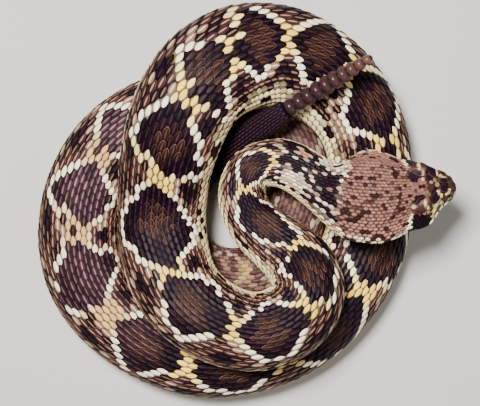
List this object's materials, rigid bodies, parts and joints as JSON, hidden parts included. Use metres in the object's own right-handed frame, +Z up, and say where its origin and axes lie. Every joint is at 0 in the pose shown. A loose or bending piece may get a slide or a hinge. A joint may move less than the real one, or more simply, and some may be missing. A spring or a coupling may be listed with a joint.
{
  "type": "eastern diamondback rattlesnake",
  "caption": "Life-size coiled eastern diamondback rattlesnake resting on the ground, head laid over its own coils and rattle lying across the upper coil",
  "frame": {"origin": "middle of the coil's outline seen from above, on the ground it lies on", "axes": "+Z up from the ground, +X the way the snout points, +Y to the animal's left at the head"},
  "size_m": [0.2527, 0.2417, 0.0825],
  "materials": {
    "scaled_skin": "dull keeled scales, blackish-brown diamonds edged in cream",
    "head_skin": "dull small scales, grey-brown with dark blotches",
    "tail_skin": "dull black keeled scales",
    "rattle_horn": "dry dark brown horn with a soft sheen",
    "eye_gloss": "wet glossy eye with a dark upright pupil"
  },
  "bodies": {
    "root": {"head": "head_skin", "eye_left": "eye_gloss", "eye_right": "eye_gloss", "neck": "scaled_skin", "body_01": "scaled_skin", "body_02": "scaled_skin", "body_03": "scaled_skin", "body_04": "scaled_skin", "body_05": "scaled_skin", "body_06": "scaled_skin", "body_07": "scaled_skin", "body_08": "scaled_skin", "body_09": "scaled_skin", "body_10": "scaled_skin", "body_11": "scaled_skin", "body_12": "scaled_skin", "body_13": "scaled_skin", "body_14": "scaled_skin", "tail": "tail_skin", "rattle": "rattle_horn"}
  },
  "joints": []
}
